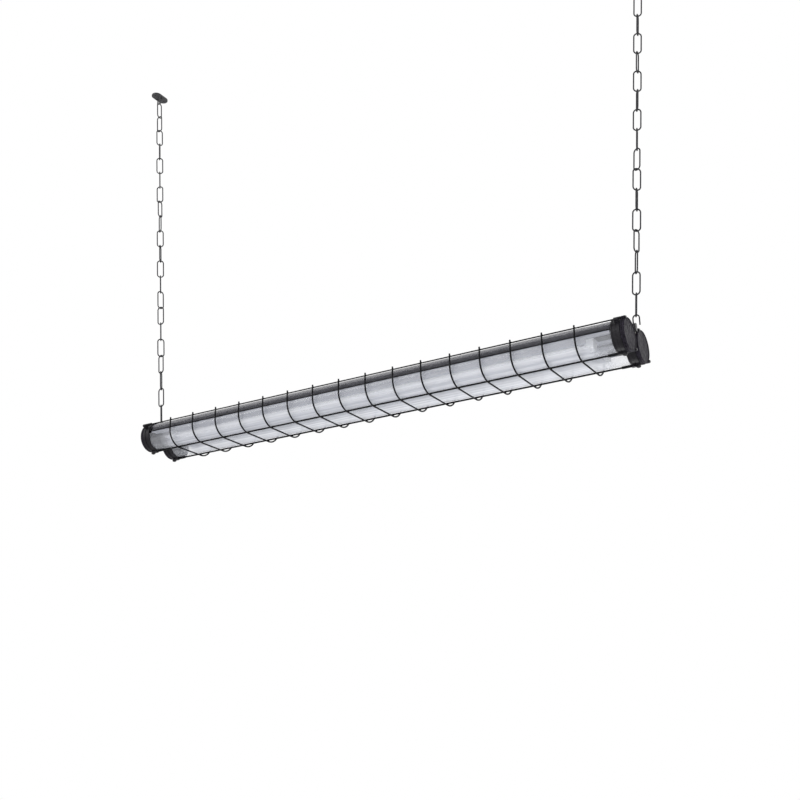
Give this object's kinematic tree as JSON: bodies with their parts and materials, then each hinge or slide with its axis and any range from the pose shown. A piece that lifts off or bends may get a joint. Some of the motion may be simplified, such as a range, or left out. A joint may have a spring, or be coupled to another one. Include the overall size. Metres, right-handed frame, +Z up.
{
  "type": "industrial chandelier",
  "caption": "Industrial chandelier: glass tubes side by side in a wire basket guard, held by cast end frames with bolted covers and hung from the ceiling on chains.",
  "frame": {"origin": "the middle of the four screw holes in the two ceiling plates, on the ceiling plane (z = 0)", "axes": "+X runs along the tubes to the right end, +Y away from the viewer to the rear tube, +Z up"},
  "size_m": [1.5586, 0.1706, 1.1692],
  "materials": {
    "ceiling_plate": "matt black powder coat",
    "staple": "darkened steel wire",
    "chain": "blackened steel wire",
    "hook": "blackened steel wire",
    "end_frame": "black hammered paint on cast metal",
    "cover": "charcoal hammered paint on cast metal",
    "gasket": "matt black rubber",
    "screw": "blackened steel",
    "glass": "clear, slightly drawn glass",
    "guard_wire": "black painted steel wire",
    "tray": "white enamel, satin",
    "tray_shell": "dark grey paint, satin",
    "bracket": "zinc plated sheet",
    "light_tube": "milky diffuser",
    "light_cap": "turned aluminium",
    "lamp_holder": "white moulded plastic",
    "driver": "white lacquered case",
    "gland": "black nylon",
    "nut": "zinc plated steel"
  },
  "bodies": {
    "ceiling": {"ceiling_plate_left": "ceiling_plate", "ceiling_plate_right": "ceiling_plate", "ceiling_staple_left": "staple", "ceiling_staple_right": "staple"},
    "left_top_link": {"top_link_left": "chain"},
    "left_chain": {"chain_left": "chain"},
    "left_last_link": {"last_link_left": "chain"},
    "right_top_link": {"top_link_right": "chain"},
    "right_chain": {"chain_right": "chain"},
    "right_last_link": {"last_link_right": "chain"},
    "lamp": {"lamp_hook_left": "hook", "end_frame_left": "end_frame", "cover_front_left": "cover", "cover_rear_left": "cover", "lamp_hook_right": "hook", "end_frame_right": "end_frame", "cover_front_right": "cover", "cover_rear_right": "cover", "glass_front": "glass", "bottom_rod_front": "guard_wire", "rim_rod_front": "guard_wire", "tray_front": "tray", "tray_shell_front": "tray_shell", "light_tube_front": "light_tube", "driver_front": "driver", "glass_rear": "glass", "bottom_rod_rear": "guard_wire", "rim_rod_rear": "guard_wire", "tray_rear": "tray", "tray_shell_rear": "tray_shell", "light_tube_rear": "light_tube", "driver_rear": "driver", "hook_nuts": "nut", "cover_gaskets": "gasket", "cover_screws": "screw", "glass_gaskets": "gasket", "rod_clamps": "screw", "tray_brackets": "bracket", "light_caps": "light_cap", "lamp_holders": "lamp_holder", "cable_gland": "gland", "hoop_01": "guard_wire", "hoop_02": "guard_wire", "hoop_03": "guard_wire", "hoop_04": "guard_wire", "hoop_05": "guard_wire", "hoop_06": "guard_wire", "hoop_07": "guard_wire", "hoop_08": "guard_wire", "hoop_09": "guard_wire", "hoop_10": "guard_wire", "hoop_11": "guard_wire", "hoop_12": "guard_wire", "hoop_13": "guard_wire", "hoop_14": "guard_wire", "hoop_15": "guard_wire", "hoop_16": "guard_wire"}
  },
  "joints": [
    {"name": "front_back_swing", "type": "hinge", "parent": "ceiling", "child": "left_top_link", "pos_m": [-0.76369, 0, -0.02417], "axis": [1, 0, 0], "range_deg": [-20, 20]},
    {"name": "sideways_swing", "type": "hinge", "parent": "left_top_link", "child": "left_chain", "pos_m": [-0.75933, 0, -0.07398], "axis": [0, 1, 0], "range_deg": [-4, 4]},
    {"name": "left_last_link_swing", "type": "hinge", "parent": "left_chain", "child": "left_last_link", "pos_m": [-0.67699, 0, -1.01519], "axis": [0, 1, 0], "range_deg": [-4.6, 4.6]},
    {"name": "lamp_tilt", "type": "hinge", "parent": "left_last_link", "child": "lamp", "pos_m": [-0.67263, 0, -1.065], "axis": [1, 0, 0], "range_deg": [-15, 15]},
    {"name": "right_front_back_swing", "type": "hinge", "parent": "ceiling", "child": "right_top_link", "pos_m": [0.76369, 0, -0.02417], "axis": [1, 0, 0], "range_deg": [-20, 20]},
    {"name": "right_sideways_swing", "type": "hinge", "parent": "right_top_link", "child": "right_chain", "pos_m": [0.75933, 0, -0.07398], "axis": [0, 1, 0], "range_deg": [-4, 4]},
    {"name": "right_last_link_swing", "type": "hinge", "parent": "right_chain", "child": "right_last_link", "pos_m": [0.67699, 0, -1.01519], "axis": [0, 1, 0], "range_deg": [-4.6, 4.6]}
  ],
  "couplings": [
    {"joint": "left_last_link_swing", "follows": "sideways_swing", "ratio": -1.1215},
    {"joint": "right_front_back_swing", "follows": "front_back_swing", "ratio": 1},
    {"joint": "right_sideways_swing", "follows": "sideways_swing", "ratio": 1},
    {"joint": "right_last_link_swing", "follows": "sideways_swing", "ratio": -1.1215}
  ]
}
